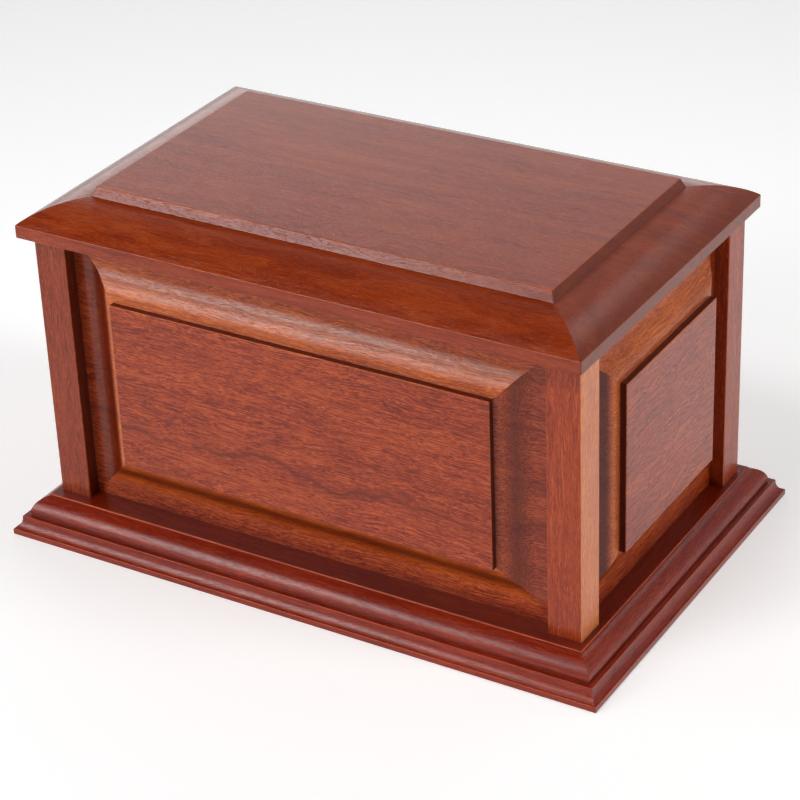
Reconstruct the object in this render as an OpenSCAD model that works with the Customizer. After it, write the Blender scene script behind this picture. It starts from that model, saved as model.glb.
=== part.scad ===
// Keepsake urn box: a lift-off raised lid, four corner posts, four raised panels
// and a mitred moulded base with its floor board. Millimetres, Z up, X across the
// front, -Y to the front, origin at the centre of the underside.

/* [Base] */
// Length of the base over its mouldings
base_w = 286; // [240:1:340]
// Depth of the base over its mouldings
base_d = 184.6; // [150:0.1:230]
// Height of the base
base_h = 17.5; // [15:0.5:24]
// Width of the stock that the base mouldings are run from
mould_w = 36; // [30:1:44]
// Thickness of the floor board let into the base
floor_t = 6; // [4:0.5:8]

/* [Body] */
// Length over the outer faces of the corner posts
body_w = 255.4; // [215:0.1:300]
// Depth over the outer faces of the corner posts
body_d = 148.6; // [125:0.1:190]
// Height of the posts and panels
body_h = 124.7; // [100:0.1:160]
// Side of each square corner post
post_s = 15.2; // [14.4:0.1:20]

/* [Panels] */
// Thickness of the board that each panel is routed from
panel_t = 18; // [17:0.1:18.8]
// Depth of the panel border behind the faces of the posts
border_set = 6.3; // [4:0.1:7]
// Depth of the square step round the raised field
field_step = 3.2; // [2.4:0.1:4]
// Gap from a post to the raised field on the front and back
field_gap_long = 22.9; // [19:0.1:40]
// Gap from a post to the raised field on the two ends
field_gap_short = 18; // [18:0.1:30]
// Gap from the base and the lid to the raised field
field_gap_z = 23.9; // [19:0.1:40]

/* [Lid] */
// Length of the lid
lid_w = 262.6; // [220:0.1:310]
// Depth of the lid
lid_d = 163; // [130:0.1:200]
// Height of the square edge of the lid
lid_edge = 5.6; // [3:0.1:10]
// Width of the rounded slope of the lid
pillow_w = 23.2; // [12:0.1:30]
// Rise of the rounded slope of the lid
pillow_rise = 8.3; // [4:0.1:12]
// Height of the step up to the flat field of the lid
lid_step = 4.3; // [2:0.1:6]
// Depth of the shallow lip that drops into the box
lip_h = 3; // [2:0.5:5]

/* [Hidden] */
$fn = 96;

// Colours of the stained timber
moulding_red = "#7a3526";
floor_brown = "#5c2a1e";
post_brown = "#8f4a35";
panel_red = "#8a4332";
lid_brown = "#86463a";

// Base moulding, from the floor up. Insets are measured from its outer edge.
fillet_h = 2.75;      // square fillet at the foot
ledge_in = 0.9;       // narrow ledge above the fillet
nose_in = 3.35;       // nose over the cove
nose_z = 7.7;
quirk_z = 8.5;        // foot and head of the small vertical quirk
quirk_in = 6.2;
ovolo_z = 9.7;
ovolo_r = 8.8;        // large rounded member
ovolo_in = 5.65;
ovolo_top = 16.8;
top_in = 12.5;        // small fillet that edges the flat top
cove_run = nose_in - ledge_in;
cove_drop = nose_z - fillet_h;
cove_r = (cove_run * cove_run + cove_drop * cove_drop) / (2 * cove_run);

// Rebate in the mouldings that holds the floor board
rebate_w = 10;
floor_w = base_w - 2 * (mould_w - rebate_w);
floor_d = base_d - 2 * (mould_w - rebate_w);

// Tongues on the ends of the panels, housed in grooves in the posts
tongue_t = 3;
tongue_l = 3;
tongue_back = 0.5;    // set back from the face of the panel border

// Ogee round the field: a round and a hollow that meet at the steepest slope. The
// round leaves the foot of the step already falling a little.
border_t = post_s - border_set;
shoulder_t = panel_t - field_step;
ogee_slope = 38;
shoulder_fall = 6;
round_share = 0.54;
round_drop = (shoulder_t - border_t) * round_share;
hollow_drop = (shoulder_t - border_t) * (1 - round_share);
round_r = round_drop / (cos(shoulder_fall) - cos(ogee_slope));
hollow_r = hollow_drop / (1 - cos(ogee_slope));
round_run = round_r * (sin(ogee_slope) - sin(shoulder_fall));
hollow_run = hollow_r * sin(ogee_slope);

// Lid
step_run = 1.9;       // lean of the step round the flat field
lid_z = base_h + body_h;
lid_h = lid_edge + pillow_rise + lid_step;
pillow_r = (pillow_w * pillow_w + pillow_rise * pillow_rise) / (2 * pillow_rise);
lip_clear = 0.6;
inside_w = body_w - 2 * post_s;
inside_d = body_d - 2 * post_s;

// Section of the base moulding, X inwards from its outer edge and Y up
module moulding_section() {
    difference() {
        union() {
            square([mould_w, fillet_h]);
            difference() {
                translate([ledge_in, 0]) square([mould_w - ledge_in, quirk_z]);
                translate([nose_in - cove_r, nose_z]) circle(r = cove_r);
            }
            translate([quirk_in, 0]) square([mould_w - quirk_in, ovolo_z]);
            intersection() {
                translate([ovolo_in + ovolo_r, ovolo_top - ovolo_r]) circle(r = ovolo_r);
                translate([0, ovolo_z]) square([ovolo_in + ovolo_r, base_h]);
            }
            translate([top_in, 0]) square([mould_w - top_in, base_h]);
        }
        translate([mould_w - rebate_w, base_h - floor_t]) square([base_w, base_h]);
    }
}

// One mitred length of moulding, lying along the -Y side of a base of this size
module mitred_moulding(len, dep) {
    color(moulding_red)
    intersection() {
        translate([-len / 2, -dep / 2, 0]) rotate([90, 0, 90])
            linear_extrude(height = len) moulding_section();
        linear_extrude(height = base_h)
            polygon([[-len / 2, -dep / 2], [len / 2, -dep / 2],
                     [len / 2 - mould_w, mould_w - dep / 2],
                     [mould_w - len / 2, mould_w - dep / 2]]);
    }
}

module floor_board() {
    color(floor_brown)
    translate([-floor_w / 2, -floor_d / 2, base_h - floor_t]) cube([floor_w, floor_d, floor_t]);
}

// Corner post at the +X -Y corner, grooved on its two inner sides for the panels
module corner_post() {
    groove = border_set + tongue_back;
    color(post_brown)
    translate([body_w / 2 - post_s, -body_d / 2, base_h])
    difference() {
        cube([post_s, post_s, body_h]);
        translate([0, groove, 0]) cube([tongue_l, tongue_t, body_h]);
        translate([post_s - groove - tongue_t, post_s - tongue_l, 0])
            cube([tongue_t, tongue_l, body_h]);
    }
}

// Section through a raised panel: Y out from its inner face, X across, half wide
module raised_section(half, gap) {
    field = half - gap;
    translate([-half, 0]) square([2 * half, border_t]);
    translate([-field, 0]) square([2 * field, panel_t]);
    for (side = [0, 1]) mirror([side, 0]) {
        intersection() {
            translate([field - round_r * sin(shoulder_fall),
                       shoulder_t - round_r * cos(shoulder_fall)])
                circle(r = round_r);
            translate([field, 0]) square([round_run, shoulder_t]);
        }
        difference() {
            translate([field + round_run, 0]) square([hollow_run, shoulder_t - round_drop]);
            translate([field + round_run + hollow_run, border_t + hollow_r])
                circle(r = hollow_r);
        }
    }
}

// One raised panel between two posts, on the -Y side of a body of this size
module raised_panel(len, dep, gap) {
    half = len / 2 - post_s;
    color(panel_red)
    translate([0, post_s - dep / 2, base_h + body_h / 2]) {
        intersection() {
            mirror([0, 1, 0]) translate([0, 0, -body_h / 2])
                linear_extrude(height = body_h) raised_section(half, gap);
            rotate([0, 90, 0]) mirror([0, 1, 0]) translate([0, 0, -half])
                linear_extrude(height = 2 * half) raised_section(body_h / 2, field_gap_z);
        }
        for (side = [0, 1]) mirror([side, 0, 0])
            translate([half, border_set + tongue_back - post_s, -body_h / 2])
                cube([tongue_l, tongue_t, body_h]);
    }
}

// Section through the lid, X across and Y up from its underside
module lid_section(width) {
    edge = width / 2;
    slope_end = edge - pillow_w;
    field = slope_end - step_run;
    pillow_top = lid_edge + pillow_rise;
    translate([-edge, 0]) square([width, lid_edge]);
    translate([-slope_end, 0]) square([2 * slope_end, pillow_top]);
    polygon([[-slope_end, pillow_top], [slope_end, pillow_top], [field, lid_h], [-field, lid_h]]);
    for (side = [0, 1]) mirror([side, 0])
        intersection() {
            translate([slope_end, pillow_top - pillow_r]) circle(r = pillow_r);
            translate([slope_end, 0]) square([pillow_w, pillow_top]);
        }
}

module lid() {
    lip_w = inside_w - 2 * lip_clear;
    lip_d = inside_d - 2 * lip_clear;
    color(lid_brown)
    translate([0, 0, lid_z]) {
        intersection() {
            translate([0, lid_d / 2, 0]) rotate([90, 0, 0])
                linear_extrude(height = lid_d) lid_section(lid_w);
            translate([-lid_w / 2, 0, 0]) rotate([90, 0, 90])
                linear_extrude(height = lid_w) lid_section(lid_d);
        }
        translate([-lip_w / 2, -lip_d / 2, -lip_h]) cube([lip_w, lip_d, lip_h]);
    }
}

mitred_moulding(base_w, base_d);  // base_moulding_front
rotate(180) mitred_moulding(base_w, base_d);  // base_moulding_back
rotate(-90) mitred_moulding(base_d, base_w);  // base_moulding_left
rotate(90) mitred_moulding(base_d, base_w);  // base_moulding_right
floor_board();
mirror([1, 0, 0]) corner_post();  // post_front_left
corner_post();  // post_front_right
rotate(180) corner_post();  // post_back_left
mirror([0, 1, 0]) corner_post();  // post_back_right
raised_panel(body_w, body_d, field_gap_long);  // panel_front
rotate(180) raised_panel(body_w, body_d, field_gap_long);  // panel_back
rotate(-90) raised_panel(body_d, body_w, field_gap_short);  // panel_left
rotate(90) raised_panel(body_d, body_w, field_gap_short);  // panel_right
lid();
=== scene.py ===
import math

import bmesh
import bpy
from mathutils import Matrix, Vector


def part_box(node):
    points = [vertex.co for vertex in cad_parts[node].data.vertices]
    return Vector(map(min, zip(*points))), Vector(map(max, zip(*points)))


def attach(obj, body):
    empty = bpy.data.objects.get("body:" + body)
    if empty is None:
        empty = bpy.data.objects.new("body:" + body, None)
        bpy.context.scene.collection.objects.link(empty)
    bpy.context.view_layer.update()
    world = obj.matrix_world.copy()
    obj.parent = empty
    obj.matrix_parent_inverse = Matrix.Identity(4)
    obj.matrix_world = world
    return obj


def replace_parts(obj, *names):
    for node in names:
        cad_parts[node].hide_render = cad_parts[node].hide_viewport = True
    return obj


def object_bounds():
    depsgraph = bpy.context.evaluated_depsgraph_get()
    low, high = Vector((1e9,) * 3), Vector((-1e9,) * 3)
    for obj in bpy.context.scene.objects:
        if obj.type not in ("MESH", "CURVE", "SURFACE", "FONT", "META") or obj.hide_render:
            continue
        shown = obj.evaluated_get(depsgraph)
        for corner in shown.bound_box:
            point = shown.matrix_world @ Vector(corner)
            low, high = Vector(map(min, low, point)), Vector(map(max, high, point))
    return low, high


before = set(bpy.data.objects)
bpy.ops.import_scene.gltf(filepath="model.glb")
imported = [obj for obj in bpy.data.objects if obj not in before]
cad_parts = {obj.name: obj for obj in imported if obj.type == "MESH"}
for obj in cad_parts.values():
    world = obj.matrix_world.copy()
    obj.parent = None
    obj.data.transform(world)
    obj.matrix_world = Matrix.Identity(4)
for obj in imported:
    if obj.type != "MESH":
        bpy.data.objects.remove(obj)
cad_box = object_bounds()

# ---------------------------------------------------------------------------
# Base mouldings. Four lengths run from one 36 mm wide section: foot fillet,
# cove, nose, quirk, ovolo and a small fillet round the flat top. They are
# mitred at the corners and glued, and rebated inside for the floor board.
# ---------------------------------------------------------------------------
MM = 0.001


def corners_mm(node):
    """Lowest and highest corner of a CAD node, in millimetres."""
    return [[round(value / MM, 3) for value in corner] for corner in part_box(node)]


def arc(centre, radius, start, end, steps, mark=0.0):
    """Points along a round member, from one angle to another in degrees."""
    points = []
    for step in range(steps + 1):
        angle = math.radians(start + (end - start) * step / steps)
        points.append((centre[0] + radius * math.cos(angle),
                       centre[1] + radius * math.sin(angle), 0.0, mark))
    return points


def eased(corners, steps=3, shade_reach=1.1):
    """The outline with each corner (across, up, radius, mark) rounded by its own radius.
    A mark of 1 is a rubbed arris and -1 a corner painted with shade. Where none is
    given, outside corners are rubbed, and inside ones get painted shade on both sides."""
    points = []
    for i, (u, v, radius, *own_mark) in enumerate(corners):
        if radius == 0:
            points.append((u, v, own_mark[0] if own_mark else 0.0))
            continue
        here = Vector((u, v))
        back = Vector(corners[i - 1][:2]) - here
        onward = Vector(corners[(i + 1) % len(corners)][:2]) - here
        to_back, to_onward = back.normalized(), onward.normalized()
        half = to_back.angle(to_onward) / 2
        reach = radius / math.tan(half)
        centre = here + (to_back + to_onward).normalized() * radius / math.sin(half)
        outside = to_onward.y * to_back.x - to_onward.x * to_back.y < 0
        mark = own_mark[0] if own_mark else (1.0 if outside else -1.0)
        shaded_inside = mark < 0 and not own_mark
        if shaded_inside and back.length > 2 * shade_reach:
            points.append((*(here + to_back * shade_reach), 0.0))
        for step in range(steps + 1):
            from_centre = (here + to_back * reach - centre).lerp(
                here + to_onward * reach - centre, step / steps)
            spot = centre + from_centre.normalized() * radius
            points.append((*spot, mark if 0 < step < steps else 0.0))
        if shaded_inside and onward.length > 2 * shade_reach:
            points.append((*(here + to_onward * shade_reach), 0.0))
    return points


def timber_piece(name, faces, finish):
    """A mesh welded from faces of (x, y, z, mark) corners in millimetres."""
    shape = bmesh.new()
    # Corner marks: rubbed wear above zero, painted light on the panels' upright strips, painted
    # shade below zero
    wear_and_painted_light = shape.loops.layers.float.new("wear_and_painted_light")
    corners = {}
    for face in faces:
        loop = {}
        for x, y, z, mark in face:
            key = (round(x, 4), round(y, 4), round(z, 4))
            if key not in corners:
                corners[key] = shape.verts.new((x * MM, y * MM, z * MM))
            loop.setdefault(corners[key], mark)
        if len(loop) > 2:
            for corner in shape.faces.new(list(loop)).loops:
                corner[wear_and_painted_light] = loop[corner.vert]
    bmesh.ops.recalc_face_normals(shape, faces=shape.faces)
    mesh = bpy.data.meshes.new(name)
    shape.to_mesh(mesh)
    shape.free()
    mesh.shade_smooth()
    sharpest_soft_edge = 36
    mesh.set_sharp_from_angle(angle=math.radians(sharpest_soft_edge))
    mesh.materials.append(finish)
    piece = bpy.data.objects.new(name, mesh)
    bpy.context.scene.collection.objects.link(piece)
    level = piece.modifiers.new("flat faces stay flat", "WEIGHTED_NORMAL")
    level.keep_sharp = True
    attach(piece, "root")
    return piece


def quarter_turned(faces, turns):
    """Faces turned about the upright axis by so many right angles."""
    c, s = ((1, 0), (0, 1), (-1, 0), (0, -1))[turns % 4]
    return [[(c * x - s * y, s * x + c * y, z, mark) for x, y, z, mark in face] for face in faces]


class Network:
    """Short calls that build a node tree. Each value is a number, a colour or a socket."""

    def __init__(self, owner):
        owner.use_nodes = True
        self.tree = owner.node_tree

    def put(self, value, socket):
        if isinstance(value, bpy.types.NodeSocket):
            self.tree.links.new(value, socket)
        else:
            socket.default_value = value

    def add(self, kind, *values, **settings):
        """A new node with these settings, and these values on its first sockets."""
        node = self.tree.nodes.new("ShaderNode" + kind)
        for setting, value in settings.items():
            setattr(node, setting, value)
        for value, socket in zip(values, node.inputs):
            self.put(value, socket)
        return node

    def maths(self, operation, *values):
        return self.add("Math", *values, operation=operation).outputs[0]

    def spread(self, value, low, high, to_low=0.0, to_high=1.0):
        """The range from low to high, stretched over another range and held inside it."""
        return self.add("MapRange", value, low, high, to_low, to_high).outputs["Result"]

    def scaled(self, vector, factors):
        return self.add("VectorMath", vector, factors, operation="MULTIPLY").outputs[0]

    def mix(self, amount, a, b):
        """Colour a turned towards colour b by this amount."""
        node = self.add("Mix", amount, data_type="RGBA")
        self.put(a, node.inputs[6])
        self.put(b, node.inputs[7])
        return node.outputs[2]

    def noise(self, detail, roughness, **places):
        node = self.add("TexNoise", noise_dimensions="1D" if "W" in places else "3D")
        node.inputs["Scale"].default_value = 1.0
        node.inputs["Detail"].default_value = detail
        node.inputs["Roughness"].default_value = roughness
        for socket, place in places.items():
            self.put(place, node.inputs[socket])
        return node.outputs["Fac"]

    def cloud(self, vector, along, across, detail=2.0, roughness=0.5):
        """Soft noise whose blots are this long and wide, in millimetres."""
        stretched = self.scaled(vector, (1 / along, 1 / across, 1 / across))
        return self.noise(detail, roughness, Vector=stretched)


fibre_axes = {"X": (0, 1, 2), "Y": (1, 2, 0), "Z": (2, 0, 1)}


def place_in_board(net, place, grain, board):
    """Where a point is in its board, in millimetres, with the first axis along the grain:
    once straight, and once with fibres that waver, so that no line runs ruler-straight."""
    axes = net.add("CombineXYZ")
    for axis, source in enumerate(fibre_axes[grain]):
        net.put(net.maths("MULTIPLY_ADD", place[source], 1 / MM, board[axis]), axes.inputs[axis])
    straight = axes.outputs[0]
    waver = 2.6
    sway = net.add("CombineXYZ")
    for axis, length, width in ((1, 46.0, 11.0), (2, 58.0, 14.0)):
        side = net.spread(net.cloud(straight, length, width), 0.2, 0.8, -waver, waver)
        net.put(side, sway.inputs[axis])
    wood = net.add("VectorMath", straight, sway.outputs[0], operation="ADD").outputs[0]
    return straight, wood


def growth_rings(net, wood, ring_width=2.6, wander=5.0):
    """Light and dark rings round the heart of the tree, which wander along the trunk."""
    across = net.add("SeparateXYZ", wood).outputs
    sideways = net.spread(net.cloud(wood, along=150, across=30), 0.25, 0.75, -wander, wander)
    off_side = net.maths("ADD", across[1], sideways)
    from_heart = net.maths("SQRT", net.maths("MULTIPLY_ADD", off_side, off_side,
                                             net.maths("MULTIPLY", across[2], across[2])))
    return net.noise(4.0, 0.65, W=net.maths("MULTIPLY", from_heart, 1 / ring_width))


def timber_tone(net, wood, figure, pore):
    """Dark to light, from broad to fine: cloudy figure, growth rings, fibres and flecks."""
    blots = net.cloud(wood, along=60, across=12, detail=3.0)
    fibres = net.cloud(wood, along=14, across=0.36, detail=1.0, roughness=0.6)
    flecks = net.cloud(wood, along=2.2, across=0.24, detail=1.0, roughness=0.6)
    tone = 0.5
    for layer, amount in ((blots, 0.22 * figure), (growth_rings(net, wood), 0.22 * figure),
                          (fibres, 0.8 * pore), (flecks, 0.6 * pore)):
        tone = net.maths("MULTIPLY_ADD", net.spread(layer, 0.3, 0.7, -0.5, 0.5), amount, tone)
    return tone


def mineral_vein(net, place, straight, grain, height, wander=7.0):
    """A dark line with a soft edge, which wanders along the board at about this height."""
    along = net.maths("MULTIPLY", place[fibre_axes[grain][0]], 1 / MM)
    path = net.noise(2.0, 0.5, W=net.maths("MULTIPLY_ADD", along, 0.02, height))
    off_path = net.maths("ADD", net.maths("MULTIPLY_ADD", place[2], 1 / MM, -height),
                         net.spread(path, 0.2, 0.8, -wander, wander))
    distance = net.maths("ABSOLUTE", off_path)
    line = net.spread(distance, 0.1, 1.1, 1.0, 0.0)
    halo = net.spread(distance, 0.5, 5.0, 0.35, 0.0)
    patchy = net.spread(net.cloud(straight, 60, 60), 0.35, 0.6, 0.45, 1.0)
    return net.maths("MULTIPLY", net.maths("MULTIPLY_ADD", line, 0.55, halo), patchy)


def worn_and_shaded(net, colour, straight, grain, middle, end_stain):
    """Arrises are rubbed lighter, and the same lighter colour is painted light beside the field on
    the panels' upright sides. End grain holds more stain. Faces turned down get painted shade,
    and so do marks below zero, on inside corners, walls and recesses, down to a dark line."""
    worn_and_lit_gain, worn_and_lit_amber = (1.75, 2.8, 2.4), (0.58, 0.12, 0.016, 1)
    downward_shade, shade_black = (0.07, 0.002, 0.0004, 1), (0.045, 0.002, 0.0004, 1)
    end_brown = (*(0.3 * part for part in middle[:3]), 1)

    wear_and_painted_light = net.add("Attribute", attribute_name="wear_and_painted_light").outputs["Fac"]
    patchy = net.spread(net.cloud(straight, 30, 30), 0.35, 0.65, 0.6, 1.0)
    worn_and_lit = net.maths("MULTIPLY", net.maths("MAXIMUM", wear_and_painted_light, 0.0), patchy)
    worn_and_lit_colour = net.mix(0.4, net.scaled(colour, worn_and_lit_gain), worn_and_lit_amber)
    colour = net.mix(worn_and_lit, colour, worn_and_lit_colour)

    normal = net.add("SeparateXYZ", net.add("NewGeometry").outputs["Normal"]).outputs
    endways = net.maths("ABSOLUTE", normal[fibre_axes[grain][0]])
    colour = net.mix(net.spread(endways, 0.1, 0.6, 0.0, end_stain), colour, end_brown)
    # Faces turned down are painted shade
    colour = net.mix(net.spread(normal[2], -0.2, -0.55, 0.0, 0.8), colour, downward_shade)
    # Marks below zero are painted shade, down to near black
    painted_shade = net.maths("MAXIMUM", net.maths("MULTIPLY", wear_and_painted_light, -0.8), 0.0)
    return net.mix(painted_shade, colour, shade_black)


def stained_timber(name, stain, grain, board, figure=1.0, pore=1.0, gloss=0.17, end_stain=0.4,
                   pale_from=None, vein=None):
    """Stained hardwood under satin lacquer, from three stain colours, deep to light. Board is
    the place in the tree, in millimetres, that the piece was cut from. Past X = pale_from is
    sapwood, and vein is the height of a dark mineral vein."""
    material = bpy.data.materials.new(name)
    net = Network(material)
    place = net.add("SeparateXYZ", net.add("TexCoord").outputs["Object"]).outputs
    straight, wood = place_in_board(net, place, grain, board)

    deep, middle, light = [(*shade, 1) for shade in stain]
    ramp = net.add("ValToRGB", timber_tone(net, wood, figure, pore))
    ramp.color_ramp.elements[0].position = 0.1
    ramp.color_ramp.elements[0].color = deep
    ramp.color_ramp.elements[1].position = 0.92
    ramp.color_ramp.elements[1].color = light
    ramp.color_ramp.elements.new(0.5).color = middle

    # Open pores soak up stain as short dark dashes, and a few mineral streaks run long
    pores = net.spread(net.cloud(wood, along=3.4, across=0.3, detail=1.0), 0.57, 0.68)
    streaks = net.spread(net.cloud(wood, along=120, across=1.5, roughness=0.55), 0.62, 0.72)
    colour = net.mix(net.maths("MULTIPLY", pores, 0.3 * pore), ramp.outputs[0], deep)
    colour = net.mix(net.maths("MULTIPLY", streaks, 0.6 * figure), colour, deep)
    if vein:
        colour = net.mix(mineral_vein(net, place, straight, grain, vein), colour, deep)
    if pale_from:
        sapwood_gain, sapwood_tan, fade = (2.0, 4.0, 5.0), (0.66, 0.22, 0.1, 1), 0.45
        sapwood = net.spread(place[0], pale_from * MM, (pale_from + fade) * MM)
        colour = net.mix(sapwood, colour, net.scaled(colour, sapwood_gain))
        colour = net.mix(net.maths("MULTIPLY", sapwood, 0.5), colour, sapwood_tan)
    colour = worn_and_shaded(net, colour, straight, grain, middle, end_stain)

    relief = net.add("Bump")
    relief.inputs["Strength"].default_value = 0.5
    relief.inputs["Distance"].default_value = 0.06 * MM
    net.put(net.maths("SUBTRACT", 1.0, pores), relief.inputs["Height"])
    surface = net.tree.nodes["Principled BSDF"]
    for socket, value in (("Base Color", colour),
                          ("Roughness", net.maths("MULTIPLY_ADD", pores, 0.15, gloss + 0.14)),
                          ("IOR", 1.5), ("Specular IOR Level", 0.05),
                          ("Coat Weight", 0.8), ("Coat Roughness", gloss), ("Coat IOR", 1.43),
                          ("Normal", relief.outputs[0]), ("Coat Normal", relief.outputs[0])):
        net.put(value, surface.inputs[socket])
    return material


(_, base_front, _), (base_right, base_inner, base_h) = corners_mm("base_moulding_front")
(_, _, floor_under), (floor_right, floor_back, _) = corners_mm("floor_board")
base_w, base_d, mould_w = 2 * base_right, -2 * base_front, base_inner - base_front
floor_t, rebate_w = base_h - floor_under, floor_right - (base_right - mould_w)
red_stain = ((0.10, 0.004, 0.0008), (0.25, 0.016, 0.002), (0.40, 0.045, 0.008))
# The flat top of the base is painted shade, which stops a little short of its outer arris
shaded_top, shade_inset = -0.6, 1.0

nose_in, nose_z = 3.35, 7.7
ledge_in, fillet_h = 0.9, 2.75
cove_run, cove_drop = nose_in - ledge_in, nose_z - fillet_h
cove_r = (cove_run ** 2 + cove_drop ** 2) / (2 * cove_run)
cove_turn = math.degrees(math.asin(cove_drop / cove_r))
ovolo_in, ovolo_r, ovolo_top = 5.65, 8.8, 16.8
quirk_in, quirk_z, ovolo_z, top_in = 6.2, 8.5, 9.7, 12.5
ovolo_low = 180 - math.degrees(math.asin((ovolo_z - (ovolo_top - ovolo_r)) / ovolo_r))
ovolo_high = 180 - math.degrees(math.acos((ovolo_in + ovolo_r - top_in) / ovolo_r))
cove = arc((nose_in - cove_r, nose_z), cove_r, -cove_turn, 0, 10)
ovolo = arc((ovolo_in + ovolo_r, ovolo_top - ovolo_r), ovolo_r, ovolo_low, ovolo_high, 14)

moulding_outline = eased(
    [(0.0, 0.0, 0.3), (mould_w, 0.0, 0.3), (mould_w, base_h - floor_t, 0.0),
     (mould_w - rebate_w, base_h - floor_t, 0.0), (mould_w - rebate_w, base_h, 0.15, shaded_top),
     (mould_w - rebate_w - shade_inset, base_h, 0.0, shaded_top),
     (top_in + shade_inset, base_h, 0.0, shaded_top), (top_in, base_h, 0.4), *reversed(ovolo),
     # the inside corner of the quirk gets a painted shade line
     (quirk_in, ovolo_z, 0.0), (quirk_in, quirk_z, 0.15), (nose_in, quirk_z, 0.25),
     *reversed(cove), (ledge_in, fillet_h, 0.0), (0.0, fillet_h, 0.3)])


def mitred_length(outline, length, depth):
    """Faces of one moulding along the front of a base of this length and depth."""
    faces = []
    ends = [[(side * (length / 2 - u), u - depth / 2, v, mark) for u, v, mark in outline]
            for side in (-1, 1)]
    for i in range(len(outline)):
        after = (i + 1) % len(outline)
        faces.append([ends[0][i], ends[1][i], ends[1][after], ends[0][after]])
    return faces + ends


for turns, side, length, depth in ((0, "front", base_w, base_d), (1, "right", base_d, base_w),
                                   (2, "back", base_w, base_d), (3, "left", base_d, base_w)):
    node_name = "base_moulding_" + side
    board = (300.0 * turns, 90.0 + 17 * turns, 60.0)
    wood = stained_timber("stained " + node_name, red_stain, "XY"[turns % 2], board, pore=0.4)
    faces = quarter_turned(mitred_length(moulding_outline, length, depth), turns)
    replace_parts(timber_piece(node_name + "_timber", faces, wood), node_name)

# ---------------------------------------------------------------------------
# Floor board. A thin board of the same timber, eased at its edges and glued
# into the rebate of the base mouldings, its top level with theirs.
# ---------------------------------------------------------------------------


def ring(half_x, half_y, corner, level, mark, steps=3):
    """A level rectangle with rounded corners, as a loop of points."""
    points = []
    for quarter, (sx, sy) in enumerate(((1, 1), (-1, 1), (-1, -1), (1, -1))):
        for step in range(steps + 1):
            angle = math.radians(90 * quarter + 90 * step / steps)
            points.append((sx * (half_x - corner) + corner * math.cos(angle),
                           sy * (half_y - corner) + corner * math.sin(angle), level, mark))
    return points


def stacked(rings):
    """Faces between each loop and the next, closed by the first and the last."""
    faces = [rings[0], rings[-1]]
    for low, high in zip(rings, rings[1:]):
        for i in range(len(low)):
            after = (i + 1) % len(low)
            faces.append([low[i], low[after], high[after], high[i]])
    return faces


plain_stain = ((0.10, 0.006, 0.002), (0.22, 0.024, 0.006), (0.33, 0.05, 0.014))
floor_arris = 0.3
well_inside = 20.0
floor_section = eased([(well_inside, base_h, 0.0), (0.0, base_h, floor_arris),
                       (0.0, base_h - floor_t, floor_arris), (well_inside, base_h - floor_t, 0.0)])
floor_rings = [ring(floor_right - u, floor_back - u, floor_arris, v, mark)
               for u, v, mark in floor_section]
floor_wood = stained_timber("stained floor", plain_stain, "X", (900.0, 70.0, 30.0), gloss=0.3)
floor_piece = timber_piece("floor_board_timber", stacked(floor_rings), floor_wood)
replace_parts(floor_piece, "floor_board")

# ---------------------------------------------------------------------------
# Corner posts. Four square posts of upright grain, grooved on their two inner
# sides to house the tongues of the panels, with every arris lightly eased. The
# front right post has a pale sapwood side, and the left posts took more stain.
# ---------------------------------------------------------------------------
(post_left, post_front, _), (post_right, _, lid_z) = corners_mm("post_front_right")
post_s = post_right - post_left
body_w, body_d, body_h = 2 * post_right, -2 * post_front, lid_z - base_h
border_set = 6.3
tongue_t, tongue_l, tongue_back = 3.0, 3.0, 0.5
groove = border_set + tongue_back
# The inner side of each post beside the panel is painted shade, darkest by the groove
reveal_corner_shade, reveal_front_shade, front_clear = -0.9, -0.6, 1.2
arris_r, arris_rubbed = 0.4, 0.5
outer_corner = (arris_r, arris_rubbed)
post_outline = eased(
    [(0.0, 0.0, *outer_corner), (post_s, 0.0, *outer_corner), (post_s, post_s, *outer_corner),
     (post_s - groove, post_s, 0.0), (post_s - groove, post_s - tongue_l, 0.0),
     (post_s - groove - tongue_t, post_s - tongue_l, 0.0), (post_s - groove - tongue_t, post_s, 0.0),
     (0.0, post_s, 0.2), (0.0, groove + tongue_t, 0.0), (tongue_l, groove + tongue_t, 0.0),
     (tongue_l, groove, 0.0), (0.0, groove, 0.0, reveal_corner_shade),
     (0.0, front_clear, 0.0, reveal_front_shade)])
post_stain = ((0.15, 0.013, 0.002), (0.33, 0.036, 0.005), (0.55, 0.095, 0.018))
darker_stain = [[0.8 * part for part in shade] for shade in post_stain]
sapwood_from = body_w / 2 - 0.5

for side_x, side_y, place_name, stain, board, pale_from in (
        (-1, -1, "front_left", darker_stain, (0.0, 64.0, 48.0), None),
        (1, -1, "front_right", post_stain, (400.0, 95.0, 22.0), sapwood_from),
        (-1, 1, "back_left", darker_stain, (800.0, 70.0, 84.0), None),
        (1, 1, "back_right", post_stain, (1200.0, 110.0, 30.0), None)):
    node_name = "post_" + place_name
    foot, head = [[(side_x * (body_w / 2 - post_s + u), side_y * (body_d / 2 - v), z, mark)
                   for u, v, mark in post_outline] for z in (base_h, lid_z)]
    wood = stained_timber("stained " + node_name, stain, "Z", board, figure=0.6, pore=0.6,
                          pale_from=pale_from)
    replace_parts(timber_piece(node_name + "_timber", stacked([foot, head]), wood), node_name)

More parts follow.
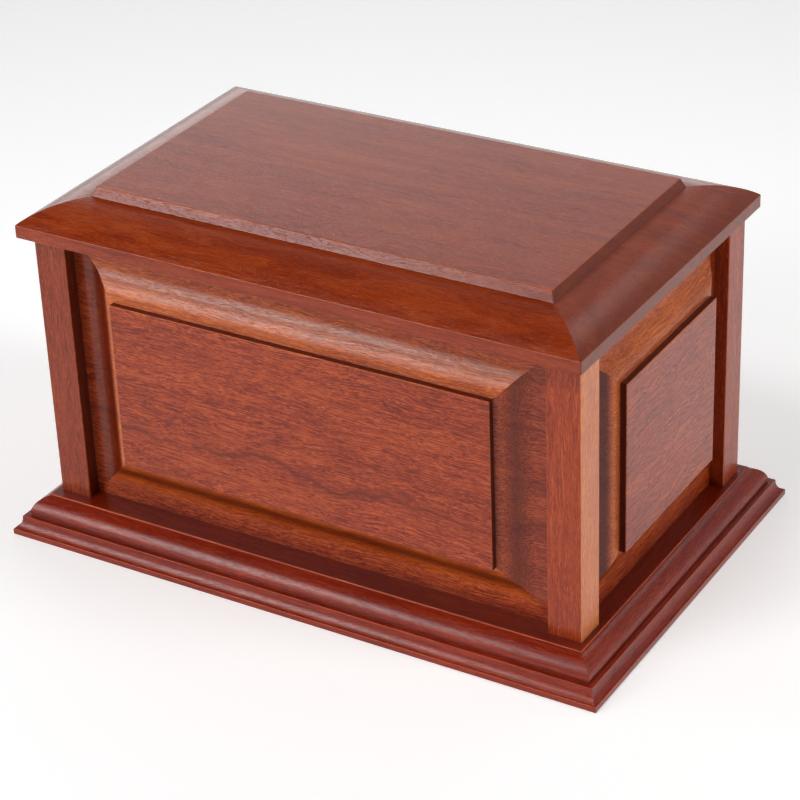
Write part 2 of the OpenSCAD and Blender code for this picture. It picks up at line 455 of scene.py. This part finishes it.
# ---------------------------------------------------------------------------
# Raised panels. Each is one level-grained board, routed round its edge with a
# square step, a round, a hollow and a flat border. The ends carry tongues that
# are glued into the posts. The ogee is rubbed lighter along its level sides.
# ---------------------------------------------------------------------------
(_, panel_front, _), (_, panel_inner, _) = corners_mm("panel_front")
panel_t = panel_inner - panel_front
field_step, step_ease = 3.2, 0.5
gap_up, gap_long, gap_short = 23.9, 22.9, 18.0
border_t = post_s - border_set
shoulder_t = panel_t - field_step
ogee_slope, shoulder_fall, round_share = 38.0, 6.0, 0.54
steepest, start = math.radians(ogee_slope), math.radians(shoulder_fall)
drop = shoulder_t - border_t
round_r = drop * round_share / (math.cos(start) - math.cos(steepest))
hollow_r = drop * (1 - round_share) / (1 - math.cos(steepest))
ogee_run = round_r * (math.sin(steepest) - math.sin(start)) + hollow_r * math.sin(steepest)

# The outer edge of the border, against the posts, base and lid, is painted shade
rubbed_round, edge_shade = 0.95, -0.2
rubbed_border = 0.25 * rubbed_round
mitre_ease = 0.2
hollow = arc((ogee_run, border_t + hollow_r), hollow_r, 270, 270 - ogee_slope, 14)
hollow = [(u, v, 0.0, rubbed_border + (rubbed_round - rubbed_border) * i / len(hollow))
          for i, (u, v, *_) in enumerate(hollow)]
round_over = arc((-round_r * math.sin(start), shoulder_t - round_r * math.cos(start)), round_r,
                 90 - ogee_slope, 90 - shoulder_fall, 14, rubbed_round)
panel_profile = eased([*hollow, *round_over[1:-1], (0.0, shoulder_t, 0.25, rubbed_round),
                       # the field's step wall is painted shade
                       (0.0, shoulder_t + step_ease, 0.0, -1.0),
                       (0.0, panel_t - step_ease, 0.0, -1.0),
                       (0.0, panel_t, 0.35), (-well_inside, panel_t, 0.0)])
panel_stain = ((0.14, 0.011, 0.002), (0.32, 0.034, 0.005), (0.52, 0.09, 0.017))

# On the upright sides: how much the rubbed strip beside the field is scaled as painted light, and
# the painted shade past it
upright_painted_light = {"left": (1.6, -0.75), "right": (0.12, -0.25)}
strip_w, strip_fade = 3.6, 3.0


def upright_side_painted(face, field_x):
    """The same face with its marks changed if it is on an upright side of the ogee, where the
    router cut across the fibres. Past a strip beside the field it is painted shade, the posts'
    shadow, deep on the left; the strip is painted light, bright on the left and faint on the right."""
    xs, _, zs, _ = zip(*face)
    level_side = max(xs) - min(xs) > max(zs) - min(zs)
    in_field = max(abs(x) for x in xs) < field_x + 0.1
    if level_side or in_field:
        return face
    stained = []
    for x, y, z, mark in face:
        strip, recess_shade = upright_painted_light["left" if x < 0 else "right"]
        past_strip = min(max((abs(x) - field_x - strip_w) / strip_fade, 0.0), 1.0)
        if mark >= 0:
            mark = mark * strip * (1 - past_strip) + recess_shade * past_strip
        stained.append((x, y, z, mark))
    return stained


def raised_panel(half_x, half_z, gap_x, set_out):
    """Faces of a panel that faces -Y, set_out from the middle of the box to its inner face."""
    middle_z = base_h + body_h / 2

    def stood(points):
        return [(x, -set_out - out, middle_z + z, mark) for x, z, out, mark in points]

    rings = [stood(ring(half_x - gap_x + u, half_z - gap_up + u, mitre_ease, v, mark))
             for u, v, mark in panel_profile]
    edge = stood(ring(half_x, half_z, 0.0, border_t, edge_shade))
    faces = [upright_side_painted(face, half_x - gap_x) for face in stacked([edge, *rings])[1:]]
    tongue_out = border_t - tongue_back
    right_side = [(half_x, border_t), (half_x, tongue_out), (half_x + tongue_l, tongue_out),
                  (half_x + tongue_l, tongue_out - tongue_t), (half_x, tongue_out - tongue_t),
                  (half_x, 0.0)]
    plan = right_side + [(-x, out) for x, out in reversed(right_side)]
    foot, head = [stood([(x, z, out, 0.0) for x, out in plan]) for z in (-half_z, half_z)]
    for i in range(len(plan) - 1):
        faces.append([foot[i], foot[i + 1], head[i + 1], head[i]])
    return faces + [foot, head]


for turns, side, length, depth, gap_x, board, vein in (
        (0, "front", body_w, body_d, gap_long, (0.0, 120.0, -34.0), 61.0),
        (1, "right", body_d, body_w, gap_short, (500.0, 60.0, 90.0), None),
        (2, "back", body_w, body_d, gap_long, (1000.0, 150.0, -20.0), 88.0),
        (3, "left", body_d, body_w, gap_short, (1500.0, 80.0, 50.0), None)):
    node_name = "panel_" + side
    faces = raised_panel(length / 2 - post_s, body_h / 2, gap_x, depth / 2 - post_s)
    wood = stained_timber("stained " + node_name, panel_stain, "XY"[turns % 2], board, vein=vein)
    panel = timber_piece(node_name + "_timber", quarter_turned(faces, turns), wood)
    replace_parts(panel, node_name)

# ---------------------------------------------------------------------------
# Lid. One wide board with its grain along the box: a square edge, a rounded
# slope, a small step and a flat field, and underneath a shallow lip that
# drops inside the walls. It rests on the posts and panels and lifts off.
# ---------------------------------------------------------------------------
(_, _, lip_under), (lid_right, lid_back, lid_head) = corners_mm("lid")
lid_top = lid_head - lid_z
lid_edge, pillow_w, pillow_rise, step_run = 5.6, 23.2, 8.3, 1.9
lip_clear, lip_corner, lip_arris = 0.6, 1.0, 0.4
edge_corner, slope_corner, edge_reach = 0.5, 0.25, 0.4
pillow_r = (pillow_w ** 2 + pillow_rise ** 2) / (2 * pillow_rise)
pillow_turn = math.degrees(math.asin(pillow_w / pillow_r))
pillow_top = lid_edge + pillow_rise
slope = arc((-pillow_w, pillow_top - pillow_r), pillow_r, 90 - pillow_turn, 90, 24)
lid_profile = eased(
    [(-2 * well_inside, 0.0, 0.0), (0.0, 0.0, 0.3), (0.0, lid_edge, 0.35), *slope[1:-1],
     # the foot of the step is an inside corner with a painted shade line
     (-pillow_w, pillow_top, 0.35), (-pillow_w - step_run, lid_top, 0.4),
     (-2 * well_inside, lid_top, 0.0)])
inside_x = body_w / 2 - post_s - lip_clear
inside_y = body_d / 2 - post_s - lip_clear
lid_rings = [ring(inside_x - lip_arris, inside_y - lip_arris, lip_corner, lip_under, 0.0),
             ring(inside_x, inside_y, lip_corner, lip_under + lip_arris, 0.0),
             ring(inside_x, inside_y, lip_corner, lid_z, 0.0)]
for u, v, mark in lid_profile[1:]:
    corner = edge_corner if u > -edge_reach else slope_corner
    lid_rings.append(ring(lid_right + u, lid_back + u, corner, lid_z + v, mark))
lid_stain = ((0.12, 0.008, 0.001), (0.29, 0.033, 0.004), (0.46, 0.08, 0.014))
lid_wood = stained_timber("stained lid", lid_stain, "X", (2000.0, 30.0, -70.0), figure=0.8,
                          pore=0.35)
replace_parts(timber_piece("lid_timber", stacked(lid_rings), lid_wood), "lid")

# ---------------------------------------------------------------------------
# Studio. A white table that glows a little round the box, a pale surround with
# a darker ceiling, and six soft lamps: at the front left, the left and the
# right, above the front and the back, and one as wide as a wall behind.
# ---------------------------------------------------------------------------
half_table = 6.0
table_mesh = bpy.data.meshes.new("table")
table_mesh.from_pydata([(x * half_table, y * half_table, 0)
                        for x, y in ((-1, -1), (1, -1), (1, 1), (-1, 1))], [], [(0, 1, 2, 3)])
table = bpy.data.objects.new("table", table_mesh)
bpy.context.scene.collection.objects.link(table)
table_white = bpy.data.materials.new("white table")
table_net = Network(table_white)
from_box = table_net.add("VectorMath", table_net.add("TexCoord").outputs["Object"],
                         operation="LENGTH").outputs["Value"]
near, far, near_glow, far_glow = 0.35, 1.4, 0.38, 0.15
glow = table_net.spread(from_box, near, far, near_glow, far_glow)
table_surface = table_net.tree.nodes["Principled BSDF"]
for socket, value in (("Base Color", (0.85, 0.85, 0.85, 1)), ("Roughness", 0.9),
                      ("Emission Color", (1, 1, 1, 1)), ("Emission Strength", glow)):
    table_net.put(value, table_surface.inputs[socket])
table_mesh.materials.append(table_white)

world = bpy.data.worlds.new("studio")
bpy.context.scene.world = world
sky = Network(world)
heading = sky.add("SeparateXYZ", sky.add("TexCoord").outputs["Generated"]).outputs
wall_light, ceiling_light, front_share = 0.5, 0.12, 0.2
background = sky.tree.nodes["Background"]
sky.put(sky.spread(heading[2], 0.5, 0.72, wall_light, ceiling_light), background.inputs["Color"])
sky.put(sky.spread(heading[1], -0.3, 0.4, front_share, 1.0), background.inputs["Strength"])


def towards(azimuth, elevation):
    """Direction by degrees round from the front, turning to the right, and degrees up."""
    turn, lift = math.radians(azimuth), math.radians(elevation)
    return Vector((math.sin(turn) * math.cos(lift), -math.cos(turn) * math.cos(lift),
                   math.sin(lift)))


def softbox(name, azimuth, elevation, distance, width, height, power):
    """A lamp that faces the box, its cloth brightest in the middle and dark at its edges."""
    lamp = bpy.data.lights.new(name, "AREA")
    lamp.shape = "RECTANGLE"
    lamp.size, lamp.size_y = width, height
    lamp.energy = power
    lamp.spread = math.radians(80)
    cloth = Network(lamp)
    spot = cloth.add("SeparateXYZ", cloth.add("NewGeometry").outputs["Parametric"]).outputs
    # Across and up the cloth, 4t(1 - t) is 1 in the middle and 0 at the edges
    across, up = [cloth.maths("SUBTRACT", t, cloth.maths("MULTIPLY", t, t)) for t in spot[:2]]
    brightness = cloth.maths("MULTIPLY", cloth.maths("MULTIPLY", across, up), 16.0)
    cloth.put(brightness, cloth.tree.nodes["Emission"].inputs["Strength"])
    holder = bpy.data.objects.new(name, lamp)
    bpy.context.scene.collection.objects.link(holder)
    holder.location = box_middle + distance * towards(azimuth, elevation)
    holder.rotation_euler = (math.radians(90 - elevation), 0, math.radians(azimuth))


box_middle = Vector((0, 0, cad_box[1][2] / 2))
# Degrees round from the front and up, then metres away, width and height, and watts
softbox("front left softbox", -33, 22, 3.2, 1.5, 2.7, 20.0)
softbox("left strip light", -80, 24, 3.2, 0.7, 1.4, 4.0)
softbox("top front softbox", -14, 56, 3.2, 1.2, 1.1, 12.0)
softbox("right softbox", 100, 36, 3.2, 1.2, 1.3, 14.0)
softbox("top back softbox", 170, 42, 3.2, 1.4, 0.9, 1.3)
softbox("back wall", 215, 10, 3.0, 4.0, 1.9, 7.0)

# ---------------------------------------------------------------------------
# Camera. A long lens from the front right and above, turned a little on its
# axis, and aimed just below the middle of the box.
# ---------------------------------------------------------------------------
azimuth, elevation, roll = 31.703, 29.322, -2.341
aim = Vector((0.00664, -0.00727, 0.06298))
distance = 1.12684
lens = bpy.data.cameras.new("camera")
lens.lens = 119.04
lens.sensor_width = 36.0
camera = bpy.data.objects.new("camera", lens)
bpy.context.scene.collection.objects.link(camera)
camera.location = aim + distance * towards(azimuth, elevation)
turned = Matrix.Rotation(math.radians(azimuth), 3, "Z")
tipped = Matrix.Rotation(math.radians(90 - elevation), 3, "X")
rolled = Matrix.Rotation(math.radians(roll), 3, "Z")
camera.rotation_euler = (turned @ tipped @ rolled).to_euler()
bpy.context.scene.camera = camera
bpy.context.scene.view_settings.view_transform = "Standard"
